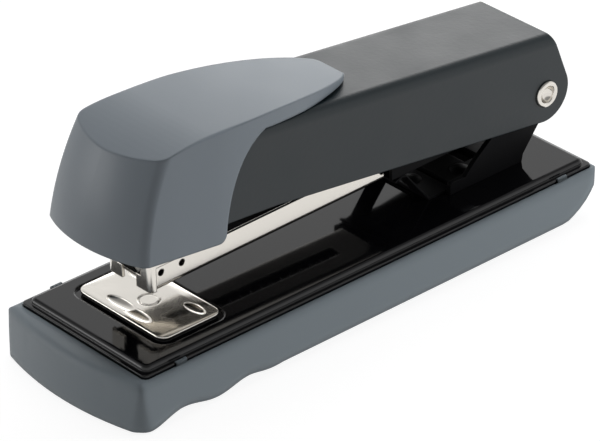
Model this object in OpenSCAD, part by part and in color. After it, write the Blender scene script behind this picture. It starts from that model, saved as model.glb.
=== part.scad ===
// Desktop stapler for half strips of 13 mm staples.
// X runs from the nose (-X) to the hinge (+X), Z is up, and the stapler stands on Z = 0.
// Every piece is drawn from the front edge of the plate's flat top, with that top at Z = 0,
// and place() then sets it in the part's own frame.

/* [Base plate] */
// Length of the flat top of the base plate
plate_l = 136; // [120:1:170]
// Width of the flat top of the base plate
plate_w = 40; // [36:1:52]
// Thickness of the base plate's sheet
plate_t = 1.2; // [0.9:0.1:1.5]
// Height of the flat top above the desk
base_h = 14; // [12:0.5:20]
// How far the rim of the plate steps down
rim_drop = 1.3; // [0.8:0.1:2]
// Width of that rim outside the flat top
rim_w = 1.2; // [0.8:0.1:2]

/* [Base shoe] */
// How far the shoe's rounded front stands before the flat top
bulge = 7.7; // [6:0.1:12]
// Radius of the rounded front, seen from above
bulge_r = 82; // [60:1:120]
// How far the shoe runs past the flat top at the rear
shoe_tail = 2.6; // [2.4:0.1:5]
// Thickness of the shoe's wall at the top of the side
shoe_wall = 2.4; // [1.8:0.1:3]
// Thickness of the shoe's sole
sole_t = 2.2; // [1.8:0.1:3]
// How far the shoe's side leans out, from rim to foot
shoe_flare = 0.8; // [0.2:0.1:1.5]
// Distance from one foot of the wavy edge to the next
wave_pitch = 19.5; // [14:0.5:24]

/* [Hinge] */
// Distance of the hinge pin before the rear end of the flat top
pin_from_rear = 6.5; // [5:0.1:10]
// Height of the hinge pin above the flat top
pin_z = 16.9; // [16.5:0.1:20]
// Diameter of the pin
pin_d = 5; // [4:0.1:6]
// Diameter of the dimple in each end of the pin
pin_hole_d = 4; // [2.6:0.1:4.4]
// Diameter of the rolled heads of the pin
pin_head_d = 6.7; // [6.2:0.1:8]
// Thickness of the hinge bracket's sheet
bracket_t = 1.2; // [0.9:0.1:1.6]

/* [Handle arm] */
// Outside width of the arm
arm_w = 26; // [25:0.5:30]
// Thickness of the arm's sheet
arm_t = 1.2; // [0.9:0.1:1.6]
// Outside radius of the bends along the arm's top
arm_bend_r = 2.6; // [1.8:0.1:3.5]
// Slope of the arm's top at rest, in degrees
arm_tilt = 6.2; // [4:0.1:8]
// Height of the arm's top above the pin
arm_top = 14.6; // [14:0.1:17]
// Radius of the round end of the arm about the pin
arm_eye_r = 7.3; // [6.5:0.1:8]
// How much the arm grows shallower towards the nose, in degrees
arm_taper = 0.9; // [0:0.1:1.5]

/* [Head cap] */
// How far the front of the cap's foot stands before the arm's nose
cap_front = 9.8; // [8:0.1:12]
// Distance of the highest place of the crown behind the arm's nose
crown_x = 32.4; // [28:0.1:38]
// Height of the crown above the arm's top
crown_rise = 3.5; // [2.8:0.1:4.2]
// Radius of the crown along the stapler
crown_r = 256; // [210:1:310]
// How far the cap reaches down from the arm's top
cap_depth = 23.3; // [20:0.1:26]
// How far the cap's foot stands out beyond the arm on each side
foot_out = 3.5; // [2.8:0.1:4.2]
// How far the cap's shoulders stand out beyond the arm on each side
shoulder_out = 1.4; // [1:0.1:2]
// Distance of the cap's rear edge behind the arm's nose
cap_rear = 17.8; // [15:0.1:21]
// Distance of the tongue's tip behind the arm's nose
tongue_l = 62.5; // [54:0.1:68]

/* [Magazine] */
// Outside width of the magazine channel
mag_w = 15; // [14.6:0.1:16]
// Thickness of the magazine's sheet
mag_t = 0.8; // [0.6:0.1:1]
// Distance of the magazine's nose behind the front of the flat top
nose_x = 12.5; // [11:0.1:16]
// Length of the nickel channel
channel_l = 70; // [64:0.5:90]
// Height of the channel's side walls
channel_h = 6; // [5.5:0.1:7]
// Depth of the channel's underside below the pin
mag_drop = 6.6; // [6:0.1:7.5]
// Slope of the magazine at rest, in degrees
mag_tilt = 1.24; // [0.5:0.02:2]
// Room for the staples' legs on each side of the rail
leg_room = 0.8; // [0.6:0.1:1]
// Thickness of the rail's sheet
rail_t = 0.8; // [0.6:0.1:1]
// Length of the pusher
pusher_l = 8; // [6:0.5:12]
// Thickness of the driver blade
blade_t = 0.6; // [0.5:0.05:0.7]

/* [Anvil] */
// Length of the anvil plate along the stapler
anvil_l = 17.6; // [16:0.1:20]
// Width of the anvil plate across the stapler
anvil_w = 29.5; // [26:0.1:32]
// Thickness of the anvil plate
anvil_t = 0.8; // [0.7:0.1:1.4]
// Distance of the clinching groove from the anvil's centre
clinch_x = 5.7; // [5:0.1:6.5]
// Overall length of the clinching groove
clinch_w = 14.5; // [13.5:0.1:16]
// Diameter of the anvil's stem
stem_d = 4; // [3:0.1:5]
// How far the anvil lifts to be turned
anvil_travel = 1.2; // [1:0.1:1.4]

/* [Springs] */
// Wire diameter of the anvil spring
anvil_wire = 0.6; // [0.4:0.05:0.8]
// Wire diameter of the pusher spring
push_wire = 0.5; // [0.4:0.05:0.6]
// Outside diameter of the pusher spring
push_spring_d = 3.6; // [3.2:0.1:3.7]
// Thickness of the two leaf springs
leaf_t = 0.6; // [0.4:0.05:0.8]

/* [Clearances] */
// Clearance all round a shaft that turns or slides
run_gap = 0.05; // [0.02:0.01:0.1]
// Gap between parts that lie side by side
side_gap = 0.15; // [0.1:0.05:0.3]
// Gap between the plate's rim and the shoe
rim_gap = 0.25; // [0.15:0.05:0.4]

/* [Hidden] */
$fn = 64;
eps = 0.01;

// Places that several pieces share
shoe_front = -bulge;
shoe_rear = plate_l + shoe_tail;
mid_x = (shoe_front + shoe_rear) / 2;
pin_x = plate_l - pin_from_rear;
floor_z = -base_h;
plate_under = -rim_drop - plate_t;
rim_half = plate_w / 2 + rim_w;
rim_front = -rim_w;
rim_rear = plate_l + rim_w;
corner_r = 1.6;
rim_corner_r = 1.2;

// A ring of points on an arc, from angle a to angle b
function arc(x, y, r, a, b, n = 16) =
    [for (i = [0:n]) [x + r * cos(a + (b - a) * i / n), y + r * sin(a + (b - a) * i / n)]];

// Height of a line in the magazine at a distance behind the front
function mag_line_at(x, drop) = pin_z - drop / cos(mag_tilt) - (pin_x - x) * tan(mag_tilt);

// Sets a piece that is drawn from the front of the flat top in the part's own frame
module place() translate([-mid_x, 0, base_h]) children();

// Draws its children from the centre of the hinge pin, turned up at the nose by an angle
module from_pin(angle) place() translate([pin_x, 0, pin_z]) rotate([0, angle, 0]) children();

// Lays a drawing of the side view, x along and y up, across the stapler
module across(w) translate([0, w / 2, 0]) rotate([90, 0, 0]) linear_extrude(w) children();

// A block between two x, two z, and w wide about the middle
module block(x0, x1, w, z0, z1) translate([x0, -w / 2, z0]) cube([x1 - x0, w, z1 - z0]);

// A round bar across the stapler
module bar(x, z, r, w) translate([x, 0, z]) rotate([90, 0, 0]) cylinder(r = r, h = w, center = true);

// A flat slab with rounded corners in plan
module rounded_slab(x0, x1, w, z0, z1, r) {
    translate([0, 0, z0]) linear_extrude(z1 - z0) rounded_box(x0, x1, w, r);
}

module rounded_box(x0, x1, w, r) {
    translate([x0 + r, -w / 2]) square([x1 - x0 - 2 * r, w]);
    translate([x0, -w / 2 + r]) square([x1 - x0, w - 2 * r]);
    for (x = [x0 + r, x1 - r], y = [-w / 2 + r, w / 2 - r]) translate([x, y]) circle(r);
}

/* ---- Base ---- */

// The wavy lower edge of the shoe: full depth at the front, two waves, then straight
wave_foot = 17.5;
wave_end = wave_foot + wave_pitch;
shoe_edge = floor_z + 1.5;
function wave_fade(x) = x < wave_foot + wave_pitch / 2 ? 1 : max(0, (wave_end - x) / (wave_pitch / 2));
function wave_z(x) =
    shoe_edge - 0.75 * wave_fade(x) * cos(360 * (x - wave_foot) / wave_pitch)
    - 0.6 * max(0, min(1, (7 - x) / 7));

rim_top = -rim_drop - 0.7;
shoe_half = rim_half + rim_gap + 1.3;
rim_round = 1.2;

// The shoe seen from the side: wavy lower edge and a tail that sweeps up
module shoe_side() {
    tail = [[-13, 0], [-11, 0.2], [-9.2, 0.9], [-6.9, 2.1], [-4.8, 3.6], [-3.2, 5.2], [-1.8, 7]];
    polygon(concat(
        [[shoe_front - 1, floor_z + 0.1]],
        [for (x = [-4:1:floor(wave_end)]) [x, max(floor_z + 0.1, wave_z(x))]],
        [[wave_end + 1, shoe_edge]],
        [for (p = tail) [shoe_rear + p[0], shoe_edge + p[1]]],
        arc(shoe_rear - rim_round, rim_top - rim_round, rim_round, 0, 90, 8),
        [[shoe_front - 1, rim_top]]));
}

// Half of an upright section: rounded at the rim and leaning out to the foot
module shoe_half_section(half, back) {
    polygon(concat(
        arc(half - rim_round, rim_top - rim_round, rim_round, 0, 90, 8),
        [[-back, rim_top], [-back, floor_z - 1], [half + shoe_flare * 1.1, floor_z - 1]]));
}

// Solid form of the shoe: bowed front, leaning sides, and corners rounded in plan
module shoe_form() {
    blend = 4.5;
    cx = shoe_front + shoe_flare + bulge_r;
    foot = shoe_half + shoe_flare + 0.03;
    front_r = bulge_r + shoe_flare + 0.03;
    corner_x = cx - sqrt(pow(front_r - blend, 2) - pow(foot - blend, 2));
    corner_y = (foot - blend) * front_r / (front_r - blend);
    intersection() {
        across(4 * plate_w) shoe_side();
        translate([cx, 0, 0]) rotate_extrude($fn = 360) shoe_half_section(bulge_r, 0);
        translate([shoe_front, 0, 0]) rotate([90, 0, 90]) linear_extrude(shoe_rear - shoe_front) {
            shoe_half_section(shoe_half, 1);
            mirror([1, 0]) shoe_half_section(shoe_half, 1);
        }
        translate([0, 0, floor_z - 1]) linear_extrude(base_h + 1) {
            intersection() {
                translate([cx, 0]) circle(front_r, $fn = 360);
                translate([shoe_front - 1, -corner_y]) square([shoe_rear - shoe_front - 3, 2 * corner_y]);
            }
            rounded_box(corner_x - blend, shoe_rear, 2 * foot, blend);
        }
    }
}

pad_t = 2.8;
pad_recess = 1.2;
pad_l = 8;
pad_w = 30;
front_pad_x = 2.5;
rear_pad_x = plate_l - 20;
anvil_x = nose_x + clinch_x;
hatch_d = 13;

module pad_shape(x, grow) rounded_box(x - grow, x + pad_l + grow, pad_w + 2 * grow, 2.5 + grow);

// Grey moulded shoe: a tub that holds the plate by its rim, with cross ribs and a sole
module base_cover() {
    sole_z = floor_z + 1.6;
    inner = rim_half + rim_gap + 1.3 - shoe_wall;
    color([0.42, 0.45, 0.46]) place() difference() {
        shoe_form();
        // Seat of the plate's rim
        rounded_slab(rim_front - rim_gap, rim_rear + rim_gap, 2 * (rim_half + rim_gap),
                     plate_under, 1, rim_corner_r + rim_gap);
        // Hollow between the sole and the plate, its floor rising with the tail
        difference() {
            intersection() {
                rounded_slab(rim_front + 1, rim_rear - 1.4, 2 * inner, sole_z + sole_t, 1, 2);
                across(2 * inner + 2) polygon([for (p = [[-plate_l, 0], [-12, 0], [-8, 1.4], [-5.4, 3.6],
                    [-3.6, 6], [-2.8, 8], [-2.8, 14], [-plate_l, 14]])
                        [shoe_rear + p[0], sole_z + sole_t + p[1]]]);
            }
            for (x = [front_pad_x - 1.6, 34, 56, 78, rear_pad_x - 8])
                block(x, x + 1.4, 2 * inner + 1, sole_z, plate_under);
        }
        // Front of the sole is cored out behind the bulge
        rounded_slab(rim_front - 3.4, rim_front + 3, plate_w * 0.7, sole_z + sole_t, plate_under - 1.6, 1);
        // Sole lies just clear of the desk between the feet of the wavy edge
        block(rim_front, shoe_rear + 1, 2 * inner, floor_z - 1, sole_z);
        translate([anvil_x, 0, floor_z - 1]) cylinder(d = hatch_d, h = base_h);
        for (x = [front_pad_x, rear_pad_x]) translate([0, 0, sole_z - eps])
            linear_extrude(pad_recess + eps) pad_shape(x, 0.1);
    }
    // Snap hooks that hold the plate's rim down
    color([0.42, 0.45, 0.46]) place() for (x = [hook_x, plate_l - hook_x], y = [-1, 1])
        translate([x, 0, 0]) hook(y);
}

hook_x = 9;
hook_w = 3;

// One small hook: a lip on the shoe's rim that snaps over the edge of the plate
module hook(side) {
    lip = [[0.2, -0.8], [0.2, 0.15], [0, 0.35], [-0.4, 0.35], [-0.6, 0.15], [-0.55, 0.05], [-0.2, 0.05]];
    translate([-hook_w / 2, 0, -rim_drop]) rotate([90, 0, 90]) linear_extrude(hook_w)
        polygon([for (p = lip) [side * (p[0] + rim_half + rim_gap), p[1]]]);
}

// Rubber pad let into the sole under the nose
module front_pad() {
    color([0.1, 0.1, 0.1]) place() translate([0, 0, floor_z])
        linear_extrude(pad_t) pad_shape(front_pad_x, 0);
}

// Rubber pad let into the sole under the hinge
module rear_pad() {
    color([0.1, 0.1, 0.1]) place() translate([0, 0, floor_z])
        linear_extrude(pad_t) pad_shape(rear_pad_x, 0);
}

anvil_gap = 0.9;
groove_depth = 0.6;
rivet_d = 3;
bracket_front = pin_x - 29;
bracket_rear = pin_x - 5.5;
bracket_rivet_x = [pin_x - 20, pin_x - 9];
leaf_rivet_x = pin_x - 31;

// Black pressing: raised flat top, stepped rim, pressed groove round the anvil
module base_plate() {
    edge_r = 1;
    color([0.03, 0.03, 0.035]) place() difference() {
        union() {
            rounded_slab(rim_front, rim_rear, 2 * rim_half, plate_under, -rim_drop, rim_corner_r);
            rounded_slab(0, plate_l, plate_w, plate_under, -edge_r, corner_r);
            soft_top(0, plate_l, plate_w, edge_r, corner_r);
        }
        rounded_slab(plate_t, plate_l - plate_t, plate_w - 2 * plate_t, plate_under - 1, -plate_t, 1);
        difference() {
            anvil_outline(anvil_gap + 0.5, -groove_depth, 1);
            anvil_outline(-0.6, -groove_depth - 1, 2);
        }
        translate([anvil_x, 0, -5]) cylinder(d = stem_d + 2 * run_gap, h = 10);
        for (x = bracket_rivet_x, y = [-5, 5]) translate([x, y, -5]) cylinder(d = rivet_d, h = 10);
        translate([leaf_rivet_x, 0, -5]) cylinder(d = rivet_d, h = 10);
    }
}

// Top of the plate with its edges rounded over by r
module soft_top(x0, x1, w, r, cr) {
    translate([0, 0, -r]) {
        rounded_slab(x0 + r, x1 - r, w - 2 * r, 0, r, cr - r + eps);
        for (y = [-1, 1]) translate([x0 + cr, y * (w / 2 - r), 0]) rotate([0, 90, 0])
            cylinder(r = r, h = x1 - x0 - 2 * cr);
        for (x = [x0 + r, x1 - r]) translate([x, cr - w / 2, 0]) rotate([-90, 0, 0])
            cylinder(r = r, h = w - 2 * cr);
        for (x = [x0 + cr, x1 - cr], y = [-1, 1]) translate([x, y * (w / 2 - cr), 0]) intersection() {
            rotate_extrude() intersection() {
                translate([cr - r, 0]) circle(r);
                translate([0, -r]) square(2 * cr);
            }
            translate([-5, -5, 0]) cube([10, 10, r + 1]);
        }
    }
}

// The anvil's outline, grown all round
module anvil_outline(grow, z0, z1) {
    rounded_slab(anvil_x - anvil_l / 2 - grow, anvil_x + anvil_l / 2 + grow,
                 anvil_w + 2 * grow, z0, z1, 2.5 + grow);
}

ear_out = arm_w / 2 - arm_t - 0.8;
ear_in = ear_out - bracket_t;

// Black bracket: a foot on the plate and two ears that carry the pin
module hinge_bracket() {
    color([0.05, 0.05, 0.055]) place() difference() {
        union() {
            block(leaf_rivet_x + 5, bracket_rear, 2 * ear_in + 0.2, 0, bracket_t);
            for (y = [-1, 1]) translate([0, y * (ear_in + bracket_t / 2), 0]) across(bracket_t) {
                translate([pin_x, pin_z]) circle(5.5);
                polygon([[bracket_front, 0], [bracket_rear, 0], [bracket_rear + 0.4, 2], [pin_x - 1.6, 6.5],
                         [pin_x + 5.2, pin_z - 1.8], [pin_x - 5.3, pin_z + 1.4], [bracket_front + 8, 6],
                         [bracket_front + 5, 3], [bracket_front + 0.5, 3], [bracket_front, 2.5]]);
            }
        }
        bar(pin_x, pin_z, pin_d / 2 + 0.02, 40);
        for (x = bracket_rivet_x, y = [-5, 5]) translate([x, y, -1]) cylinder(d = rivet_d, h = 4);
        block(pin_x - 17, pin_x - 12, 7, -1, 3);
    }
}

// Round-headed rivet along Z, with its head on top of a stack that starts at z0
module rivet(x, y, z0, z1, d, head_d, head_h) {
    translate([x, y, 0]) {
        translate([0, 0, z0]) cylinder(d = d, h = z1 - z0 + eps);
        translate([0, 0, z1]) rotate_extrude() intersection() {
            dome_r = (pow(head_d / 2, 2) + head_h * head_h) / (2 * head_h);
            translate([0, head_h - dome_r]) circle(dome_r, $fn = 96);
            square([head_d / 2, head_h]);
        }
        translate([0, 0, z0 - 0.6]) cylinder(d = d + 1.6, h = 0.6);
    }
}

// Four rivets through the bracket's foot and the plate
module bracket_rivets() {
    color([0.75, 0.74, 0.7]) place() for (x = bracket_rivet_x, y = [-5, 5])
        rivet(x, y, -plate_t, bracket_t, rivet_d, 5, 0.8);
}

// Rivet pin with dimpled ends, each rolled over into a head
module hinge_pin() {
    head_in = arm_w / 2 + side_gap;
    roll = (pin_head_d - pin_hole_d) / 4;
    color([0.82, 0.8, 0.75]) place() translate([pin_x, 0, pin_z]) rotate([90, 0, 0]) {
        difference() {
            cylinder(d = pin_d, h = 2 * head_in, center = true);
            for (s = [-1, 1]) mirror([0, 0, s < 0 ? 1 : 0]) translate([0, 0, head_in])
                sphere_cap(pin_hole_d / 2, 1.3);
        }
        for (s = [-1, 1]) mirror([0, 0, s < 0 ? 1 : 0]) translate([0, 0, head_in])
            rotate_extrude() intersection() {
                translate([pin_hole_d / 2 + roll, 0]) circle(roll, $fn = 32);
                translate([0, 0]) square([pin_head_d, pin_head_d]);
            }
    }
}

// Two washers that fill the space between the bracket and the arm
module pin_washers() {
    out = arm_w / 2 - arm_t;
    color([0.85, 0.85, 0.82]) place() translate([pin_x, 0, pin_z]) for (s = [-1, 1])
        rotate([s * 90, 0, 0]) translate([0, 0, ear_out + 0.1]) difference() {
            cylinder(d = 10, h = out - ear_out - 0.2);
            translate([0, 0, -1]) cylinder(r = pin_d / 2 + run_gap, h = 5);
        }
}

leaf_w = 7;
lift_w = 2 * ear_in - 1;
lift_tip_x = leaf_rivet_x - 12;

// Leaf spring that lifts the magazine off the anvil
module lift_spring() {
    line = [[lift_tip_x - 2, 1], [lift_tip_x, 0.3], [lift_tip_x + 1.5, 0.6]];
    color([0.2, 0.2, 0.21]) place() difference() {
        across(lift_w) polygon(concat(
            [[leaf_rivet_x + 4, 0], [leaf_rivet_x + 4, leaf_t], [leaf_rivet_x - 3, leaf_t]],
            [for (i = [2:-1:0]) [line[i][0], under_rail(line[i][0], line[i][1])]],
            [for (p = line) [p[0], under_rail(p[0], p[1] + leaf_t)]],
            [[leaf_rivet_x - 3.3, 0]]));
        translate([leaf_rivet_x, 0, -1]) cylinder(d = rivet_d, h = 4);
        // Arms either side of a long window, which let the leaf bend
        block(lift_tip_x + 2.5, leaf_rivet_x - 3.5, lift_w - 9, 0, 12);
    }
}

// Height of a line just below the underside of the rail
function under_rail(x, down) = mag_line_at(x, mag_drop - mag_t) - down;

// Rivet that holds the leaf spring on the plate
module lift_spring_rivet() {
    color([0.75, 0.74, 0.7]) place() rivet(leaf_rivet_x, 0, -plate_t, leaf_t, rivet_d, 5, 1);
}

/* ---- Anvil ---- */

anvil_z = run_gap;
stem_foot_z = -plate_t - anvil_travel - 5;
stem_foot_t = 1.6;
washer_t = 0.8;

// One clinching pocket: half of the figure-of-eight groove
module pocket(x, y, l, w, depth) {
    translate([x, y, anvil_z + anvil_t]) {
        for (s = [-1, 1]) translate([0, s * (l - w) / 2, 0]) sphere_cap(w / 2, depth);
        rotate([90, 0, 0]) translate([0, 0, -(l - w) / 2]) linear_extrude(l - w)
            intersection() {
                dish_r = (w * w / 4 + depth * depth) / (2 * depth);
                translate([0, dish_r - depth]) circle(dish_r);
                translate([-w, -2 * w]) square([2 * w, 2 * w + 0.001]);
            }
    }
}

// A shallow dish of radius r and given depth, cut below Z = 0
module sphere_cap(r, depth) {
    dish_r = (r * r + depth * depth) / (2 * depth);
    intersection() {
        translate([0, 0, dish_r - depth]) sphere(dish_r);
        translate([0, 0, -depth - 1]) cylinder(r = r, h = depth + 1.001);
    }
}

// Nickel anvil with a closing groove at one end and two opening pockets at the other
module anvil_plate() {
    color([0.8, 0.78, 0.73]) place() difference() {
        anvil_outline(0, anvil_z, anvil_z + anvil_t);
        for (s = [-1, 1]) pocket(anvil_x - clinch_x, s * clinch_w / 4, clinch_w / 2 + 0.4, 2.6, 0.55);
        for (s = [-1, 1]) pocket(anvil_x + clinch_x - 0.6, s * 9.5, 6.8, 2.4, 0.55);
        translate([anvil_x, 0, -1]) cylinder(d = stem_d, h = 4);
        translate([anvil_x, 0, anvil_z + anvil_t - 0.25]) difference() {
            cylinder(d = 6.2, h = 1);
            translate([0, 0, -1]) cylinder(d = 5.4, h = 3);
        }
    }
}

// Stem swaged into the anvil; its wide foot is pushed up and turned from below
module anvil_stem() {
    top = anvil_z + anvil_t;
    color([0.8, 0.78, 0.73]) place() translate([anvil_x, 0, 0]) {
        translate([0, 0, stem_foot_z]) cylinder(d = stem_d, h = top - stem_foot_z);
        translate([0, 0, stem_foot_z - stem_foot_t]) difference() {
            cylinder(d = 10, h = stem_foot_t);
            translate([-6, -0.6, -1]) cube([12, 1.2, 1.6]);
        }
    }
}

// Washer that the anvil spring bears on; it rides up on the stem's foot
module anvil_washer() {
    color([0.7, 0.7, 0.68]) place() translate([anvil_x, 0, stem_foot_z]) difference() {
        cylinder(d = 8.6, h = washer_t);
        translate([0, 0, -1]) cylinder(r = stem_d / 2 + run_gap, h = 3);
    }
}

// A coil of round wire along Z as one swept tube
module coil(d, wire, h, turns, sides = 6, steps = 12) {
    r = (d - wire) / 2;
    n = turns * steps;
    slope = atan(h / (turns * 360) * 180 / PI / r);
    ring = [for (i = [0:n], k = [0:sides - 1])
        let (a = 360 * i / steps, b = 360 * k / sides,
             out = cos(b) * wire / 2, up = sin(b) * wire / 2)
        [(r + out) * cos(a) + up * sin(slope) * sin(a),
         (r + out) * sin(a) - up * sin(slope) * cos(a),
         h * i / n + up * cos(slope)]];
    tube = [for (i = [0:n - 1], k = [0:sides - 1], half = [0, 1])
        let (m = (k + 1) % sides, a = i * sides + k, b = i * sides + m, c = b + sides, d = a + sides)
        half == 0 ? [c, b, a] : [d, c, a]];
    ends = [for (k = [1:sides - 2], end = [0, 1]) let (e = end * n * sides)
        end == 0 ? [e, e + k, e + k + 1] : [e, e + k + 1, e + k]];
    polyhedron(points = ring, faces = concat(tube, ends));
}

// Coil spring that holds the anvil down on the plate
module anvil_spring() {
    z0 = stem_foot_z + washer_t + anvil_wire / 2 + 0.05;
    z1 = -plate_t - anvil_wire / 2 - 0.05;
    color([0.7, 0.7, 0.68]) place() translate([anvil_x, 0, z0])
        coil(6.6, anvil_wire, z1 - z0, 4);
}

/* ---- Magazine: drawn from the pin, level, nose towards -X ---- */

nose = nose_x - pin_x;
nose_r = 1.6;
channel_end = min(nose + channel_l, lift_tip_x - pin_x - 3);
floor_top = -mag_drop + mag_t;
wall_top = -mag_drop + channel_h;
rail_top_drop = mag_drop - channel_h + 0.4;
rail_top = -rail_top_drop;
rail_w = mag_w - 2 * mag_t - 2 * leg_room;
blade_r = -nose - mag_t - 0.15;
rail_front = nose + mag_t + 1.5;

// Nickel channel: side walls with rounded lower bends, open at the top and along the middle below
module magazine_channel() {
    bend_r = 1.4;
    hole_d = 1.7;
    color([0.84, 0.82, 0.77]) from_pin(-mag_tilt) difference() {
        translate([nose + nose_r, 0, 0]) rotate([90, 0, 90]) linear_extrude(channel_end - nose - nose_r)
            channel_section(bend_r);
        // Slot that lets the staple out, and the window under the rail
        block(nose - 1, rail_front + 0.3, mag_w - 2 * mag_t, -mag_drop - 1, floor_top + 1);
        block(rail_front + 8, channel_end - 8, 4, -mag_drop - 1, floor_top + 1);
        for (x = [nose + 3, nose + 9]) bar(x, wall_top - 1.6, hole_d / 2, mag_w + 2);
        // Lead-in at the rear end of each wall
        for (y = [-1, 1]) translate([channel_end, y * mag_w / 2, wall_top]) rotate([0, 45, 0])
            cube([1.6, 3 * mag_t, 1.6], center = true);
    }
}

module channel_section(r) {
    half = mag_w / 2;
    inner_r = r - mag_t;
    difference() {
        polygon(concat(
            [[-half, wall_top], [-half, -mag_drop + r]],
            arc(-half + r, -mag_drop + r, r, 180, 270, 8),
            arc(half - r, -mag_drop + r, r, 270, 360, 8),
            [[half, wall_top]]));
        polygon(concat(
            [[mag_t - half, wall_top + 1]],
            arc(-half + r, -mag_drop + r, inner_r, 180, 270, 8),
            arc(half - r, -mag_drop + r, inner_r, 270, 360, 8),
            [[half - mag_t, wall_top + 1]]));
    }
}

nose_top = wall_top + 4.2;
leg_w = 3.6;

// Nose plate: two folded legs with the staple's way out between them, and ears along the sides
module nose_plate() {
    color([0.84, 0.82, 0.77]) from_pin(-mag_tilt) difference() {
        intersection() {
            translate([0, 0, -mag_drop]) linear_extrude(nose_top + mag_drop) difference() {
                rounded_box(nose, nose + 20, mag_w, nose_r);
                rounded_box(nose + mag_t, nose + 21, mag_w - 2 * mag_t, nose_r - mag_t);
            }
            across(mag_w + 1) polygon([[nose - 1, -mag_drop], [nose + nose_r, -mag_drop],
                [nose + nose_r, wall_top], [nose + 9, wall_top], [nose + 9, nose_top], [nose - 1, nose_top]]);
        }
        // Window between the legs
        block(nose - 1, nose + 1, mag_w - 2 * leg_w, -mag_drop + 3.4, nose_top - 1.6);
        block(nose - 1, nose + 1, mag_w - 2 * leg_w - 3, -mag_drop - 1, -mag_drop + 4);
        // Ears are cut back in a slope
        across_cut();
    }
}

module across_cut() {
    across(mag_w + 2) polygon([[nose + 9.1, wall_top + 1.2], [nose + 9.1, nose_top + 1],
                               [nose + 4, nose_top + 1], [nose + 4, nose_top]]);
}

slot_w = 2.4;
rod_drop = mag_drop - 2.8;
rod_d = 2;
stop_x = channel_end + 3;

// Black rail that the staples straddle; it runs on to the pin as two ears
module staple_rail() {
    ear_w = 2 * (ear_in - side_gap);
    color([0.07, 0.07, 0.075]) from_pin(-mag_tilt) difference() {
        union() {
            difference() {
                block(rail_front, stop_x + rail_t, rail_w, floor_top, rail_top);
                block(rail_front - 1, stop_x, rail_w - 2 * rail_t, floor_top - 1, rail_top - rail_t);
            }
            // Front tab with the hole for the rod
            block(rail_front, rail_front + rail_t, rail_w - 0.2, floor_top + 0.6, rail_top - 0.1);
            // Rear carrier, wider than the rail
            difference() {
                across(ear_w) carrier_side();
                block(channel_end, pin_x, ear_w - 2 * rail_t, -mag_drop - 3, rail_top - rail_t);
                block(-14, pin_x, ear_w - 2 * rail_t, -20, 20);
            }
        }
        block(rail_front + 6, channel_end - 2, slot_w, rail_top - 2, rail_top + 1);
        translate([rail_front - 1, 0, -rod_drop]) rotate([0, 90, 0]) cylinder(r = rod_d / 2 + run_gap, h = 3);
        translate([stop_x - 1, 0, -rod_drop]) rotate([0, 90, 0]) cylinder(r = rod_d / 2 + run_gap, h = 3);
        bar(0, 0, pin_d / 2 + run_gap, 40);
        for (x = rail_rivet_x) translate([x, 0, rail_top - 3]) cylinder(d = 2, h = 5);
    }
}

// Side view of the carrier: a low beam that rises to a round eye at the pin
module carrier_side() {
    circle(5.4);
    polygon([[channel_end + 0.4, floor_top], [-6, floor_top], [-3, -4.5], [0, -5.4], [0, 5.4],
             [-5, 5.0], [-14, rail_top + 1.5], [-22, rail_top], [channel_end + 0.4, rail_top]]);
}

rail_rivet_x = [channel_end + 7, channel_end + 13];

// Two rivets that close the rail's roof over the rod's stop
module rail_rivets() {
    color([0.75, 0.74, 0.7]) from_pin(-mag_tilt) for (x = rail_rivet_x)
        rivet(x, 0, rail_top - rail_t, rail_top, 2, 3.4, 0.7);
}

// Steel rod that guides the pusher and its spring
module pusher_rod() {
    front = rail_front + 0.1;
    color([0.75, 0.74, 0.7]) from_pin(-mag_tilt) translate([front, 0, -rod_drop]) rotate([0, 90, 0])
        cylinder(d = rod_d, h = stop_x + rail_t + 2 - front);
}

// Clip that keeps the rod in the rail's stop
module rod_clip() {
    color([0.3, 0.3, 0.31]) from_pin(-mag_tilt) translate([stop_x + rail_t + 0.1, 0, -rod_drop])
        rotate([0, 90, 0]) difference() {
            cylinder(d = 3.4, h = 0.6);
            translate([0, 0, -1]) cylinder(d = rod_d, h = 3);
            translate([0, -0.8, -1]) cube([4, 1.6, 3]);
        }
}

pusher_front = rail_front + 0.5;

// Coil spring behind the pusher
module pusher_spring() {
    x0 = pusher_front + pusher_l + 0.4;
    color([0.7, 0.7, 0.68]) from_pin(-mag_tilt) translate([x0, 0, -rod_drop]) rotate([0, 90, 0])
        coil(push_spring_d, push_wire, stop_x - 0.4 - x0, 20);
}

// Pusher: a saddle over the rail, a web through its slot and a block on the rod
module pusher() {
    saddle_w = mag_w - 2 * mag_t - 2 * side_gap;
    color([0.12, 0.12, 0.125]) from_pin(-mag_tilt) difference() {
        union() {
            difference() {
                block(pusher_front, pusher_front + pusher_l, saddle_w, floor_top + 0.9, rail_top + 1.5);
                block(pusher_front - 1, pusher_front + pusher_l + 1, rail_w + 2 * side_gap,
                      floor_top - 1, rail_top + side_gap);
            }
            block(pusher_front + 6.2, pusher_front + pusher_l, slot_w - 2 * side_gap,
                  -rod_drop, rail_top + 0.6);
            block(pusher_front + 1, pusher_front + pusher_l, rail_w - 2 * rail_t - 0.6,
                  floor_top + 0.3, rail_top - rail_t - 0.15);
        }
        translate([nose, 0, -rod_drop]) rotate([0, 90, 0]) cylinder(r = rod_d / 2 + run_gap, h = 40);
        // Finger ridges on the saddle
        for (i = [0:3]) bar(pusher_front + 1.6 + 1.5 * i, rail_top + 1.7, 0.5, saddle_w + 2);
    }
}

/* ---- Handle: drawn from the pin, level, nose towards -X ---- */

arm_front = (nose_x - 3) - pin_x;
knee_x = -84;
arm_low = -arm_eye_r;

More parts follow.
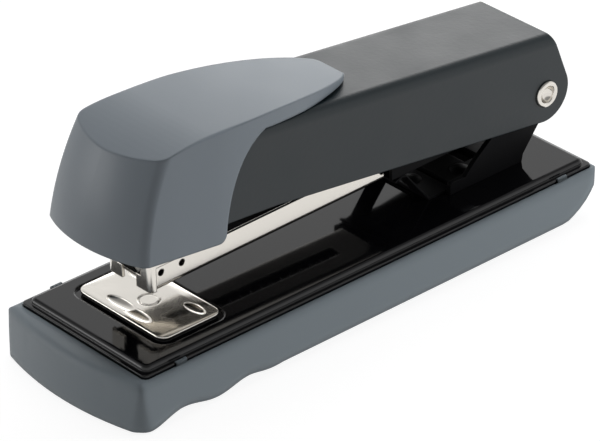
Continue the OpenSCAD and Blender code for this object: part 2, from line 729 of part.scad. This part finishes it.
// Side view of the arm: round eye, sloping tail, shallow belly, cut-back nose
module arm_side() {
    tail = acos(arm_eye_r / arm_top) - 2;
    knee_z = arm_low - knee_x * tan(arm_taper);
    polygon(concat(
        arc(0, 0, arm_eye_r, 270, 450 - tail, 24),
        [[0.4, arm_top], [arm_front + 14, arm_top], [arm_front, arm_top - 9],
         [arm_front, knee_z - 1.4], [knee_x, knee_z]]));
}

// Black arm: an inverted channel with rounded bends, folded from one sheet
module handle_arm() {
    half = arm_w / 2;
    color([0.06, 0.062, 0.068]) from_pin(arm_tilt) difference() {
        intersection() {
            across(arm_w + 2) arm_side();
            translate([arm_front - 1, 0, 0]) rotate([90, 0, 90]) linear_extrude(-arm_front + 12)
                arm_section(half, arm_bend_r, 0);
        }
        translate([arm_front - 2, 0, 0]) rotate([90, 0, 90]) linear_extrude(-arm_front + 16)
            arm_section(half - arm_t, arm_bend_r - arm_t, arm_t);
        bar(0, 0, pin_d / 2 + run_gap, arm_w + 2);
        for (x = holder_rivet_x) translate([x, 0, arm_top - 3]) cylinder(d = 2.5, h = 5);
        translate([arm_spring_x, 0, arm_top - 3]) cylinder(d = 2.5, h = 5);
        translate([peg_x, 0, arm_top - 3]) cylinder(d = peg_d + 0.2, h = 5);
    }
}

module arm_section(half, r, drop) {
    top = arm_top - drop;
    polygon(concat([[-half, -20]], arc(-half + r, top - r, r, 180, 90, 8),
                   arc(half - r, top - r, r, 90, 0, 8), [[half, -20]]));
}

cap_w = arm_w + 2 * foot_out;
cap_top_w = arm_w + 2 * shoulder_out;
cap_foot = arm_top - cap_depth;
cap_top = arm_top + crown_rise;
draft = atan((cap_w - cap_top_w) / 2 / (cap_depth + crown_rise));
tip = arm_front + tongue_l;

// A smooth curve from p to s, drawn towards q and r on its way
function bend(p, q, r, s, n = 14) = [for (i = [0:n]) let (t = i / n, u = 1 - t)
    u * u * u * p + 3 * u * u * t * q + 3 * u * t * t * r + t * t * t * s];

// Side view of the cap: level foot, arched rear edge, tongue on the arm's top with its tip lifted
module cap_side() {
    foot_r = 2.1;
    rear = arm_front + cap_rear;
    front_r = 70;
    turn = asin((crown_x - 13) / crown_r);
    front_x = arm_front + 13 + front_r * sin(turn);
    front_z = cap_top - crown_r + (crown_r - front_r) * cos(turn);
    polygon(concat(
        arc(rear - foot_r, cap_foot + foot_r, foot_r, 270, 355, 8),
        bend([rear, cap_foot + 2.2], [rear + 0.6, cap_foot + 0.48 * cap_depth],
             [rear + 3.6, cap_foot + 0.87 * cap_depth], [rear + 11.6, arm_top + 0.15]),
        [[rear + 13, arm_top + 0.05], [tip - 20, arm_top + 0.05]],
        [for (q = [[-16.7, 0.2], [-11.9, 0.5], [-6.5, 0.7], [-2.5, 0.6], [-0.3, 0.5], [0, 0.8], [-0.3, 1.2],
                   [-1, 1.6], [-2, 1.95], [-3.2, 2.25], [-5.2, 2.6], [-8, crown_rise + 0.5]])
            [tip + q[0], arm_top + q[1]]],
        [[arm_front + crown_x, cap_top + 1]],
        arc(front_x, front_z, front_r, 90 + turn, 112, 12),
        [[arm_front - cap_front - 1, cap_foot]]));
}

// Section of the cap across the stapler, swept along the crown's curve
module cap_section() {
    shoulder = 0.8;
    side_at_crown = cap_top_w / 2 + 0.15;
    deep = cap_depth + 16;
    cr = crown_r - shoulder;
    cy = side_at_crown + shoulder * tan(draft) - shoulder / cos(draft);
    low = side_at_crown + deep * tan(draft);
    polygon([[crown_r - deep, -low], [cr + shoulder * sin(draft), -cy - shoulder * cos(draft)],
             [cr, -cy], [crown_r, -cy], [crown_r, cy], [cr, cy],
             [cr + shoulder * sin(draft), cy + shoulder * cos(draft)], [crown_r - deep, low]]);
    for (y = [-cy, cy]) translate([cr, y]) circle(shoulder);
}

// One side of the cap from above: straight, then narrowing to the tongue's blunt tip
module cap_plan() {
    x0 = arm_front + 13;
    reach = tip + 0.8 - x0;
    half = cap_top_w / 2;
    edge = cap_w / 2 + 0.03;
    n = 24;
    polygon(concat(
        [[arm_front - cap_front - 5, -edge - 30], [arm_front - cap_front - 5, edge + 1], [x0 - 1, edge + 1],
         [x0 - 1, edge]],
        [for (i = [0:n]) let (t = 1 - pow(1 - i / n, 1.6))
            [x0 + reach * t, edge - half * (1 - pow(1 - pow(t, 1.75), 0.4545))]],
        [[tip + 0.8, -edge - 30]]));
}

// One side of the cap: bowed front that leans back, upright corner rounded off, narrowing rear
module cap_half(side, inset = 0) {
    bow_r = 34;
    lean_r = 66;
    blend = 3;
    half = cap_w / 2 - inset;
    cx = lean_r - bow_r - inset;
    corner = cx + sqrt(pow(bow_r - blend, 2) - pow(half - blend, 2));
    tangent_y = (half - blend) * bow_r / (bow_r - blend);
    translate([0, side * half, cap_foot]) rotate([side * draft, 0, 0]) intersection() {
        translate([arm_front - cap_front + lean_r, -side * half, -0.3]) rotate([-90 * side, 0, 0])
            rotate_extrude($fn = 180) {
                intersection() {
                    translate([cx, 0]) circle(bow_r, $fn = 128);
                    translate([0, -bow_r]) square([2 * lean_r, bow_r + tangent_y]);
                }
                translate([corner, half - blend]) circle(blend);
                translate([0, -bow_r]) square([corner, bow_r + half]);
            }
        translate([0, -side * half, -6]) linear_extrude(2 * cap_depth) mirror([0, side < 0 ? 1 : 0])
            cap_plan();
    }
}

// Both sides of the cap, joined along its middle
module cap_both(inset = 0) {
    for (side = [-1, 1]) intersection() {
        cap_half(side, inset);
        translate([arm_front - 20, side < 0 ? -cap_w : 0, cap_foot - 8]) cube([100, cap_w, 50]);
    }
}

peg_x = arm_front + 24;
peg_d = 4;

// Grey moulded cap: a hollow hood over the arm's nose with a tongue lying along its top
module head_cap() {
    color([0.42, 0.45, 0.46]) {
        difference() {
            from_pin(arm_tilt) intersection() {
                cap_both();
                across(2 * cap_w) cap_side();
                translate([arm_front + crown_x, 0, cap_top - crown_r]) rotate([90, 0, 0])
                    rotate([0, 0, 70]) rotate_extrude(angle = 40, $fn = 360) cap_section();
            }
            // Pocket for the arm
            from_pin(arm_tilt) across(arm_w + 0.2)
                polygon([[arm_front - 0.2, -40], [arm_front - 0.2, arm_top - 9],
                    [arm_front + 13.9, arm_top + 0.05], [0, arm_top + 0.05], [0, -40]]);
            // Hollow in front of the arm
            from_pin(arm_tilt) intersection() {
                block(arm_front - cap_front, arm_front + 3, arm_w - 2, cap_foot - 5, arm_top - 8);
                cap_both(2.2);
            }
        }
        // Peg that snaps through the arm's top
        from_pin(arm_tilt) translate([peg_x, 0, arm_top - arm_t - 1]) {
            cylinder(d = peg_d, h = arm_t + 2);
            cylinder(d1 = peg_d - 0.6, d2 = peg_d + 0.6, h = 0.9);
        }
    }
}

blade_w = mag_w - 2 * mag_t - 0.6;
blade_low = wall_top + 0.8;
blade_high = 21.5;

// Driver blade: curved about the pin so that it runs straight down the nose
module driver_blade() {
    color([0.6, 0.6, 0.6]) from_pin(-mag_tilt) intersection() {
        difference() {
            bar(0, 0, blade_r, blade_w);
            bar(0, 0, blade_r - blade_t, blade_w + 1);
        }
        block(-blade_r - 1, -blade_r + 12, blade_w + 2, blade_low, blade_high);
    }
}

holder_rivet_x = [arm_front + 17, arm_front + 31];
arm_spring_x = arm_front + 44;
holder_front = arm_front + 2;
holder_low = 2.5;
holder_t = 3.5;

// Holder that clamps the blade under the arm's roof
module driver_holder() {
    w = arm_w - 2 * arm_bend_r;
    roof = arm_top - arm_t;
    color([0.1, 0.1, 0.105]) from_pin(arm_tilt) difference() {
        across(w) polygon([[holder_front, holder_low], [holder_front + 8, holder_low],
            [holder_front + 12, roof - holder_t], [holder_front + 32, roof - holder_t], [holder_front + 32, roof],
            [arm_front + 14, roof], [holder_front, roof - 7]]);
        rotate([0, -arm_tilt - mag_tilt, 0]) difference() {
            bar(0, 0, blade_r + 0.05, blade_w + 0.1);
            bar(0, 0, blade_r - blade_t - 0.05, blade_w + 1);
            block(-blade_r - 5, 0, arm_w, blade_high + 0.1, 60);
        }
        for (x = holder_rivet_x) translate([x, 0, 0]) cylinder(d = 2.5, h = 30);
        translate([peg_x, 0, 0]) cylinder(d = peg_d + 1.4, h = 30);
        // Lightening pockets behind the blade
        for (y = [-1, 1]) translate([holder_front + 15, y * w / 4 - 2.5, 0]) cube([14, 5, roof - 1.2]);
    }
}

// Two rivets through the arm's roof and the holder
module holder_rivets() {
    roof = arm_top - arm_t;
    color([0.75, 0.74, 0.7]) from_pin(arm_tilt) for (x = holder_rivet_x)
        rivet(x, 0, roof - holder_t, arm_top - 0.55, 2.5, 2.5, 0.4);
}

// Height of a line just above the rail's top, in the arm's own frame
function over_rail(x, up) = rail_top / cos(arm_tilt + mag_tilt) + x * tan(arm_tilt + mag_tilt) + up;

// Leaf spring that pushes the arm up from the rail
module handle_spring() {
    roof = arm_top - arm_t;
    foot = -50;
    line = [[foot - 3, 0.6], [foot, 0.3], [foot + 2, 1.3]];
    color([0.2, 0.2, 0.21]) from_pin(arm_tilt) difference() {
        across(leaf_w) polygon(concat(
            [[arm_spring_x - 4, roof], [arm_spring_x - 4, roof - leaf_t], [arm_spring_x + 3, roof - leaf_t]],
            [for (p = line) [p[0], over_rail(p[0], p[1])]],
            [for (i = [2:-1:0]) [line[i][0], over_rail(line[i][0], line[i][1] + leaf_t)]],
            [[arm_spring_x + 3.5, roof]]));
        translate([arm_spring_x, 0, roof - 3]) cylinder(d = 2.5, h = 5);
    }
}

// Rivet that holds the handle's spring, flush under the cap's tongue
module handle_spring_rivet() {
    roof = arm_top - arm_t;
    color([0.06, 0.062, 0.068]) from_pin(arm_tilt)
        rivet(arm_spring_x, 0, roof - leaf_t, arm_top - 0.55, 2.5, 2.5, 0.4);
}

base_cover();
base_plate();
front_pad();
rear_pad();
hinge_bracket();
bracket_rivets();
hinge_pin();
pin_washers();
lift_spring();
lift_spring_rivet();
anvil_plate();
anvil_stem();
anvil_washer();
anvil_spring();
magazine_channel();
nose_plate();
staple_rail();
rail_rivets();
pusher_rod();
rod_clip();
pusher_spring();
pusher();
handle_arm();
head_cap();
driver_blade();
driver_holder();
holder_rivets();
handle_spring();
handle_spring_rivet();
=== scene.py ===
import math

import bmesh
import bpy
from mathutils import Matrix, Vector


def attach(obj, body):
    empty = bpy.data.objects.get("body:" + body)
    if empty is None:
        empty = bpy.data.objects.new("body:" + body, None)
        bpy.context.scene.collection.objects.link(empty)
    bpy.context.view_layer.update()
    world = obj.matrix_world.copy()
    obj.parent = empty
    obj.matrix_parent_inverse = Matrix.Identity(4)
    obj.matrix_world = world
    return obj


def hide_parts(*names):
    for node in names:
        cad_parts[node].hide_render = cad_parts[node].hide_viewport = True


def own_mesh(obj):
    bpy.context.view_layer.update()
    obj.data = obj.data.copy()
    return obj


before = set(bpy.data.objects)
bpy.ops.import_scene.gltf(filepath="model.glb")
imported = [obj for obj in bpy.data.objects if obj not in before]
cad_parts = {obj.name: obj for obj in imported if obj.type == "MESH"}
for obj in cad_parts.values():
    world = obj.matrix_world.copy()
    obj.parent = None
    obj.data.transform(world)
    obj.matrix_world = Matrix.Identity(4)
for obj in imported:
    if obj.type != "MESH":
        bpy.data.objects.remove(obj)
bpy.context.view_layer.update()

# The view: a long lens well back from the nose corner, looking down at the stapler's left side,
# with the frame moved a little off the lens's axis.
aim = Vector((0.002565, 0.0, 0.014))
towards_camera = Vector((-0.58332, -0.63459, 0.50686)).normalized()
camera_distance = 0.91548

scene = bpy.context.scene
scene.view_settings.view_transform = "Standard"
right = Vector((0, 0, 1)).cross(towards_camera).normalized()
up = towards_camera.cross(right)
lens = bpy.data.cameras.new("camera")
lens.lens = 240.0
lens.sensor_width = 36.0
lens.shift_x = -0.02455833
lens.shift_y = 0.00872167
lens.clip_end = 20.0
camera = bpy.data.objects.new("camera", lens)
turn = Matrix((right, up, towards_camera)).transposed().to_4x4()
camera.matrix_world = Matrix.Translation(aim + towards_camera * camera_distance) @ turn
scene.collection.objects.link(camera)
scene.camera = camera

# The room: a white sky that darkens overhead, a pale paper floor that gives a little light back
# from below, and four soft lights. The overhead and right ones only light the surfaces, and the
# left one and the low strip behind also show as soft glints.
sky_white = 1.0
sky_overhead = 0.3
sky_fill = 0.09
dims_from_height, dims_to_height = 0.48, 0.76
floor_half_width = 6.0
floor_gap = 0.0002
floor_white = 0.88
floor_fill = 0.22
paper_grey = (0.24, 0.24, 0.24, 1.0)
lights = (
    # name, place, width, height, watts, whether it shows in reflections
    ("overhead", (0.16, 0.26, 0.74), 0.80, 0.80, 3.8, False),
    ("left", (-0.70, 0.56, 0.12), 0.55, 0.35, 1.3, True),
    ("right", (0.78, -0.50, 0.18), 0.55, 0.40, 5.8, False),
    ("behind", (0.64, 0.60, 0.28), 0.70, 0.22, 0.8, True),
)


def node_material(name):
    """A new material, its node tree and its surface shader."""
    made = bpy.data.materials.new(name)
    made.use_nodes = True
    tree = made.node_tree
    return made, tree, tree.nodes["Principled BSDF"]


def seen_directly(tree, off, on):
    """The value on for camera, mirror and glass rays, and off for the rest."""
    path = tree.nodes.new("ShaderNodeLightPath")
    glossy = tree.nodes.new("ShaderNodeMath")
    glossy.operation = "MAXIMUM"
    tree.links.new(path.outputs["Is Camera Ray"], glossy.inputs[0])
    tree.links.new(path.outputs["Is Glossy Ray"], glossy.inputs[1])
    through = tree.nodes.new("ShaderNodeMath")
    through.operation = "MAXIMUM"
    tree.links.new(glossy.outputs[0], through.inputs[0])
    tree.links.new(path.outputs["Is Transmission Ray"], through.inputs[1])
    level = tree.nodes.new("ShaderNodeMapRange")
    level.inputs["To Min"].default_value = off
    level.inputs["To Max"].default_value = on
    tree.links.new(through.outputs[0], level.inputs["Value"])
    return level


sky = bpy.data.worlds.new("sky")
sky.use_nodes = True
scene.world = sky
air = sky.node_tree
glow = air.nodes["Background"]
glow.inputs["Color"].default_value = (1.0, 1.0, 1.0, 1.0)
direction = air.nodes.new("ShaderNodeTexCoord")
height = air.nodes.new("ShaderNodeSeparateXYZ")
air.links.new(direction.outputs["Generated"], height.inputs[0])
dome = air.nodes.new("ShaderNodeMapRange")
dome.interpolation_type = "SMOOTHSTEP"
dome.inputs["From Min"].default_value = dims_from_height
dome.inputs["From Max"].default_value = dims_to_height
dome.inputs["To Min"].default_value = sky_white
dome.inputs["To Max"].default_value = sky_overhead
air.links.new(height.outputs["Z"], dome.inputs["Value"])
sky_level = seen_directly(air, sky_fill, sky_white)
air.links.new(dome.outputs["Result"], sky_level.inputs["To Max"])
air.links.new(sky_level.outputs["Result"], glow.inputs["Strength"])

ground = bmesh.new()
bmesh.ops.create_grid(ground, x_segments=2, y_segments=2, size=floor_half_width)
bmesh.ops.translate(ground, verts=ground.verts, vec=(0.0, 0.0, -floor_gap))
floor_mesh = bpy.data.meshes.new("floor")
ground.to_mesh(floor_mesh)
ground.free()
floor = bpy.data.objects.new("floor", floor_mesh)
scene.collection.objects.link(floor)
paper, paper_tree, paper_skin = node_material("floor_paper")
paper_skin.inputs["Base Color"].default_value = paper_grey
paper_skin.inputs["Roughness"].default_value = 0.9
paper_skin.inputs["Specular IOR Level"].default_value = 0.1
paper_skin.inputs["Emission Color"].default_value = (1.0, 1.0, 1.0, 1.0)
paper_level = seen_directly(paper_tree, floor_fill, floor_white)
paper_tree.links.new(paper_level.outputs["Result"], paper_skin.inputs["Emission Strength"])
floor_mesh.materials.append(paper)

for name, place, wide, tall, watts, glints in lights:
    lamp = bpy.data.lights.new(name, "AREA")
    lamp.shape = "ELLIPSE"
    lamp.size = wide
    lamp.size_y = tall
    lamp.energy = watts
    soft = bpy.data.objects.new(name, lamp)
    soft.location = place
    soft.rotation_euler = (Vector(place) - aim).to_track_quat("Z", "Y").to_euler()
    soft.visible_glossy = glints
    scene.collection.objects.link(soft)


# The shoe under the base and the cap on the nose: one grey moulding compound, with a fine
# spark-eroded grain from the tool. The shoe's edges are well rounded, and the cap's less so.
def finish(name, colour, rough, drift=0.06, drift_scale=90.0, grain=0.0, grain_scale=3000.0,
           edge=0.0003, metal=0.0, specular=0.5):
    """A surface whose colour and roughness drift a little over the piece, with a fine grain that
    stands up by grain metres, and edges that look rounded to the radius edge."""
    made, tree, skin = node_material(name)
    nodes, links = tree.nodes, tree.links
    where = nodes.new("ShaderNodeTexCoord").outputs["Object"]

    cloud = nodes.new("ShaderNodeTexNoise")
    cloud.inputs["Scale"].default_value = drift_scale
    cloud.inputs["Detail"].default_value = 4.0
    links.new(where, cloud.inputs["Vector"])

    tint = nodes.new("ShaderNodeMixRGB")
    tint.inputs["Color1"].default_value = (*[c * (1 - drift) for c in colour], 1.0)
    tint.inputs["Color2"].default_value = (*[c * (1 + drift) for c in colour], 1.0)
    links.new(cloud.outputs["Fac"], tint.inputs["Fac"])
    links.new(tint.outputs["Color"], skin.inputs["Base Color"])

    worn = nodes.new("ShaderNodeMapRange")
    worn.inputs["From Min"].default_value = 0.3
    worn.inputs["From Max"].default_value = 0.7
    worn.inputs["To Min"].default_value = rough * (1 - 2 * drift)
    worn.inputs["To Max"].default_value = rough * (1 + 2 * drift)
    links.new(cloud.outputs["Fac"], worn.inputs["Value"])
    links.new(worn.outputs["Result"], skin.inputs["Roughness"])

    rounded = nodes.new("ShaderNodeBevel")
    rounded.samples = 6
    rounded.inputs["Radius"].default_value = edge
    normal = rounded.outputs["Normal"]
    if grain:
        fine = nodes.new("ShaderNodeTexNoise")
        fine.inputs["Scale"].default_value = grain_scale
        fine.inputs["Detail"].default_value = 2.0
        links.new(where, fine.inputs["Vector"])
        bump = nodes.new("ShaderNodeBump")
        bump.inputs["Strength"].default_value = 1.0
        bump.inputs["Distance"].default_value = grain
        links.new(fine.outputs["Fac"], bump.inputs["Height"])
        links.new(normal, bump.inputs["Normal"])
        normal = bump.outputs["Normal"]
    links.new(normal, skin.inputs["Normal"])
    skin.inputs["Metallic"].default_value = metal
    skin.inputs["Specular IOR Level"].default_value = specular
    return made


def dress(material, *names):
    """Gives each of these CAD nodes one material all over."""
    for name in names:
        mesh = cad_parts[name].data
        mesh.materials.clear()
        mesh.materials.append(material)


dress(finish("shoe_moulding", (0.190, 0.225, 0.250), 0.42, drift=0.03, grain=0.00001,
             grain_scale=3600.0, edge=0.0030), "base_cover")
dress(finish("cap_moulding", (0.185, 0.215, 0.245), 0.38, drift=0.03, grain=0.00001,
             grain_scale=3600.0, edge=0.0008), "head_cap")

# The base plate: pressed steel under a thick glossy black enamel, which rounds its rim and the
# groove that is pressed round the anvil.
dress(finish("black_enamel", (0.003, 0.003, 0.004), 0.07, drift=0.1, drift_scale=60.0,
             edge=0.0005, specular=0.45), "base_plate")

# The arm: pressed steel with a satin black powder coat, which has a faint orange peel. The heads
# of the rivets through it are coated with it.
dress(finish("satin_powder", (0.0015, 0.0070, 0.0100), 0.34, drift=0.05, grain=0.00002,
             grain_scale=900.0, edge=0.0004, specular=0.45),
      "handle_arm", "holder_rivets", "handle_spring_rivet")

# Black pressings inside: the hinge bracket with its rivets and washers, the lifting spring, the
# rail and the pusher, all chemically blackened and dull. Their reflection is also turned almost
# off: painted shade, so that they stay as black as the shade under the arm.
dress(finish("blackened_steel_and_painted_shade", (0.004, 0.004, 0.0045), 0.5, drift=0.1, grain=0.00001,
             grain_scale=1200.0, specular=0.06),
      "hinge_bracket", "bracket_rivets", "lift_spring", "lift_spring_rivet", "staple_rail",
      "pusher", "pin_washers")

# The bright pieces: the magazine and its nose, the anvil and its stem, and the hinge pin, of
# steel with a polished nickel plate.
bright_nickel = finish("bright_nickel", (0.72, 0.69, 0.64), 0.14, drift=0.06,
                       drift_scale=140.0, metal=1.0, edge=0.0003)
dress(bright_nickel, "magazine_channel", "nose_plate", "anvil_plate", "anvil_stem", "hinge_pin")

# The anvil: a nickelled steel plate with rounded corners. Two dishes that meet like a figure of
# eight close the staple, two single dishes open it, and a C-shaped groove is coined round the
# head of the stem that is swaged into it.
anvil_x = -0.04725
anvil_top = 0.01485
anvil_long = 0.0176
anvil_wide = 0.0295
anvil_thick = 0.0008
corner_radius = 0.0025
rim_radius = 0.0002
dish_depth = 0.00065
dishes = (
    # place along and across from the anvil's centre, half width, half length
    (-0.0055, 0.0029, 0.0017, 0.0047),
    (-0.0060, -0.0029, 0.0017, 0.0045),
    (0.0051, 0.0095, 0.0015, 0.0033),
    (0.0051, -0.0095, 0.0015, 0.0033),
)
stem_hole_radius = 0.00202
groove_radius = 0.00242
groove_half_width = 0.00028
groove_sweep = 304


def moved(tool, scale, place):
    """Scales a mesh about the origin and then sets it in its place."""
    bmesh.ops.scale(tool, verts=tool.verts, vec=scale)
    bmesh.ops.translate(tool, verts=tool.verts, vec=place)


def as_object(tool, name):
    """Closes a bmesh into an object of that name, with its faces turned outwards."""
    bmesh.ops.recalc_face_normals(tool, faces=tool.faces)
    mesh = bpy.data.meshes.new(name)
    tool.to_mesh(mesh)
    tool.free()
    made = bpy.data.objects.new(name, mesh)
    scene.collection.objects.link(made)
    return made


blank = bmesh.new()
bmesh.ops.create_cube(blank, size=1.0)
moved(blank, (anvil_long, anvil_wide, anvil_thick), (anvil_x, 0.0, anvil_top - anvil_thick / 2))
upright = [edge for edge in blank.edges
           if abs(edge.verts[0].co.z - edge.verts[1].co.z) > anvil_thick / 2]
bmesh.ops.bevel(blank, geom=upright, offset=corner_radius, segments=10, affect="EDGES",
                profile=0.5, material=-1)
rim = [edge for edge in blank.edges
       if min(vert.co.z for vert in edge.verts) > anvil_top - 0.00001]
bmesh.ops.bevel(blank, geom=rim, offset=rim_radius, segments=3, affect="EDGES", profile=0.5,
                material=-1)
anvil = as_object(blank, "anvil_with_dishes")

punches = []
for along, across, half_wide, half_long in dishes:
    dish = bmesh.new()
    bmesh.ops.create_uvsphere(dish, u_segments=48, v_segments=32, radius=1.0)
    moved(dish, (half_wide, half_long, dish_depth), (anvil_x + along, across, anvil_top))
    punches.append(as_object(dish, "dish"))
bore = bmesh.new()
bmesh.ops.create_cone(bore, cap_ends=True, segments=64, radius1=stem_hole_radius,
                      radius2=stem_hole_radius, depth=5 * anvil_thick)
bmesh.ops.translate(bore, verts=bore.verts, vec=(anvil_x, 0.0, anvil_top))
punches.append(as_object(bore, "bore"))
coin = bmesh.new()
bmesh.ops.create_circle(coin, cap_ends=True, segments=12, radius=groove_half_width)
bmesh.ops.rotate(coin, verts=coin.verts, matrix=Matrix.Rotation(math.radians(90), 3, "X"))
bmesh.ops.translate(coin, verts=coin.verts, vec=(groove_radius, 0.0, 0.0))
first_end = math.radians((360 - groove_sweep) / 2)
bmesh.ops.rotate(coin, verts=coin.verts, matrix=Matrix.Rotation(first_end, 3, "Z"))
bmesh.ops.spin(coin, geom=coin.verts[:] + coin.edges[:] + coin.faces[:], axis=(0.0, 0.0, 1.0),
               cent=(0.0, 0.0, 0.0), angle=math.radians(groove_sweep), steps=64)
bmesh.ops.translate(coin, verts=coin.verts, vec=(anvil_x, 0.0, anvil_top))
punches.append(as_object(coin, "coin"))

for punch in punches:
    cut = anvil.modifiers.new(punch.name, "BOOLEAN")
    cut.operation = "DIFFERENCE"
    cut.solver = "EXACT"
    cut.object = punch
shaped = anvil.evaluated_get(bpy.context.evaluated_depsgraph_get())
punched = bpy.data.meshes.new_from_object(shaped)
anvil.modifiers.clear()
anvil.data = punched
for punch in punches:
    bpy.data.objects.remove(punch)
punched.shade_smooth()
punched.set_sharp_from_angle(angle=math.radians(30))
punched.materials.append(bright_nickel)
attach(anvil, "anvil")
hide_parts("anvil_plate")

# The washer on the anvil's stem, the rail's rivets and the pusher's rod, of steel with a plain
# zinc plate.
dress(finish("zinc", (0.55, 0.55, 0.53), 0.35, drift=0.1, drift_scale=400.0, metal=1.0),
      "anvil_washer", "rail_rivets", "pusher_rod")

# The driver blade, the clip on the rod, and the springs, of bare steel that is hardened and
# tempered.
hard_steel = finish("hard_steel", (0.24, 0.25, 0.27), 0.3, drift=0.1, drift_scale=500.0,
                    metal=1.0)
dress(hard_steel, "driver_blade", "handle_spring", "rod_clip", "anvil_spring", "pusher_spring")


# The two coil springs of steel wire, each one smooth piece that rides with its body and keeps
# its length. The pusher's lies on its rod and the anvil's stands under the plate; in the stapler
# they close up as the pusher goes back and as the anvil is pushed up.
def coil(name, node, body):
    """The node's wire as one smooth skin of hard steel, carried by the body in place of the
    node."""
    wire = bmesh.new()
    wire.from_mesh(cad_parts[node].data)
    bmesh.ops.remove_doubles(wire, verts=wire.verts, dist=0.000001)
    spring = as_object(wire, name)
    spring.data.shade_smooth()
    spring.data.set_sharp_from_angle(angle=math.radians(60))
    spring.data.materials.clear()
    spring.data.materials.append(hard_steel)
    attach(spring, body)
    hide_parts(node)
    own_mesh(spring)


coil("pusher_coil", "pusher_spring", "magazine")
coil("anvil_coil", "anvil_spring", "base")

# The holder that carries the blade inside the nose, moulded in black nylon with a dull skin.
dress(finish("black_nylon", (0.02, 0.02, 0.02), 0.6, grain=0.00001), "driver_holder")

# The two pads that the stapler stands on: black rubber with a coarse moulded grain, let into the
# sole of the shoe.
dress(finish("pad_rubber", (0.018, 0.018, 0.018), 0.8, grain=0.00003, grain_scale=1800.0),
      "front_pad", "rear_pad")
